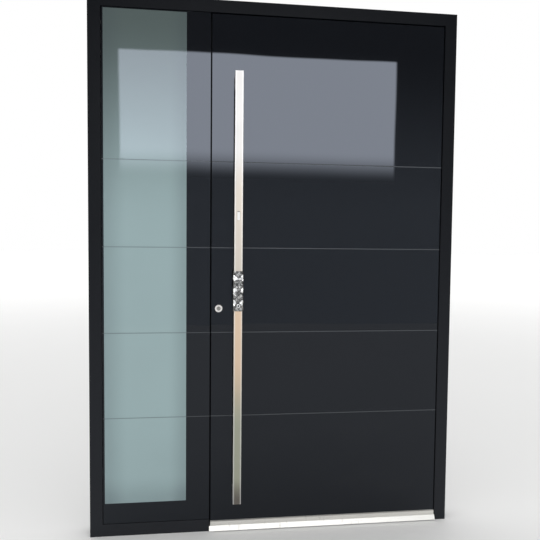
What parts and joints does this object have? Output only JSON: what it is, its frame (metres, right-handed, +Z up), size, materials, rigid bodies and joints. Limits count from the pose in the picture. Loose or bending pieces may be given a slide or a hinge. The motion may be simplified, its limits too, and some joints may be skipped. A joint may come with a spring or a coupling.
{
  "type": "glass entrance door",
  "caption": "Black entrance door with a frosted glass sidelight in one frame, inward-opening glass-faced leaf, multi-point lock and full-height square pull bar.",
  "frame": {"origin": "middle of the underside of the frame, halfway through its depth", "axes": "+X to the right seen from outside, +Y from the outside face to the inside, +Z up"},
  "size_m": [1.565, 0.2123, 2.25],
  "materials": {
    "frame_coat": "satin black powder coat",
    "mill_aluminium": "anodised",
    "insulating_plastic": "glass-filled polyamide, black",
    "steel": "satin steel",
    "stainless": "brushed stainless steel",
    "nickel": "nickel-plated brass",
    "frosted_glass": "acid-etched field with a black enamel border",
    "clear_glass": "clear float glass",
    "black_glass": "black enamelled glass",
    "spacer": "warm-edge spacer with black sealant",
    "seal_rubber": "black EPDM",
    "foam": "rigid foam",
    "light_window": "pale insert",
    "film": "crinkled protective film"
  },
  "bodies": {
    "frame": {"head_inner_shell": "frame_coat", "head_outer_shell": "frame_coat", "jamb_left_inner_shell": "frame_coat", "jamb_left_outer_shell": "frame_coat", "jamb_right_inner_shell": "frame_coat", "jamb_right_outer_shell": "frame_coat", "sill_inner_shell": "frame_coat", "sill_outer_shell": "frame_coat", "mullion_inner_shell": "frame_coat", "mullion_outer_shell": "frame_coat", "frame_insulating_bars": "insulating_plastic", "keeper_main": "steel", "keepers_side": "steel", "threshold_outer": "frame_coat", "threshold_inner": "mill_aluminium", "threshold_insulator": "insulating_plastic", "threshold_nose": "stainless", "sidelight_outer_pane": "frosted_glass", "sidelight_middle_pane": "clear_glass", "sidelight_inner_pane": "clear_glass", "sidelight_spacers": "spacer", "sidelight_bond_tape": "seal_rubber", "glazing_gaskets": "seal_rubber", "glazing_beads": "frame_coat", "setting_blocks": "insulating_plastic", "hinge_frame_parts": "frame_coat"},
    "leaf": {"stile_lock_inner_shell": "frame_coat", "stile_hinge_inner_shell": "frame_coat", "rail_top_inner_shell": "frame_coat", "rail_bottom_inner_shell": "frame_coat", "leaf_outer_shells": "frame_coat", "leaf_insulating_bars": "insulating_plastic", "leaf_outer_pane": "black_glass", "leaf_core": "foam", "leaf_bond_tape": "seal_rubber", "leaf_inner_sheet": "frame_coat", "leaf_seals": "seal_rubber", "weather_strip": "stainless", "lock_face_plate": "steel", "lock_cases": "steel", "cylinder_housing": "nickel", "cylinder_roses": "stainless", "lever_rose": "stainless", "hinge_leaf_parts": "frame_coat", "pull_bar": "stainless", "pull_bar_bolts": "steel", "pull_bar_end_caps": "stainless", "pull_bar_legs": "stainless", "pull_bar_window": "light_window", "grip_film": "film"},
    "lever": {"inside_lever": "stainless", "lever_spindle": "steel", "lock_follower": "steel"},
    "latch": {"latch_bolt": "steel"},
    "plug": {"cylinder_plug": "nickel"},
    "bolts": {"lock_bolts": "steel"},
    "rods": {"drive_rods": "steel"},
    "jaw": {"keeper_jaw": "steel"}
  },
  "joints": [
    {"name": "leaf_hinge", "type": "hinge", "parent": "frame", "child": "leaf", "pos_m": [0.748, 0.058, 1.17], "axis": [0, 0, -1], "range_deg": [0, 100]},
    {"name": "lever_turn", "type": "hinge", "parent": "leaf", "child": "lever", "pos_m": [-0.248, 0.1, 1.059], "axis": [0, 1, 0], "range_deg": [0, 45], "stiffness_Nm_per_rad": 2, "springref_deg": -17.19},
    {"name": "latch_slide", "type": "slide", "parent": "leaf", "child": "latch", "axis": [1, 0, 0], "range_m": [0, 0.0121]},
    {"name": "bolts_slide", "type": "slide", "parent": "leaf", "child": "bolts", "axis": [-1, 0, 0], "range_m": [0, 0.02]},
    {"name": "key_turn", "type": "hinge", "parent": "leaf", "child": "plug", "pos_m": [-0.248, 0, 0.967], "axis": [0, 1, 0], "range_deg": [0, 360]},
    {"name": "rods_slide", "type": "slide", "parent": "leaf", "child": "rods", "axis": [0, 0, 1], "range_m": [0, 0.0201]},
    {"name": "jaw_release", "type": "hinge", "parent": "frame", "child": "jaw", "pos_m": [-0.3175, 0.0335, 1.089], "axis": [0, 0, -1], "range_deg": [0, 90]}
  ],
  "couplings": [
    {"joint": "latch_slide", "follows": "lever_turn", "m_per_rad": 0.01528},
    {"joint": "key_turn", "follows": "bolts_slide", "rad_per_m": 314},
    {"joint": "rods_slide", "follows": "bolts_slide", "ratio": 1}
  ]
}
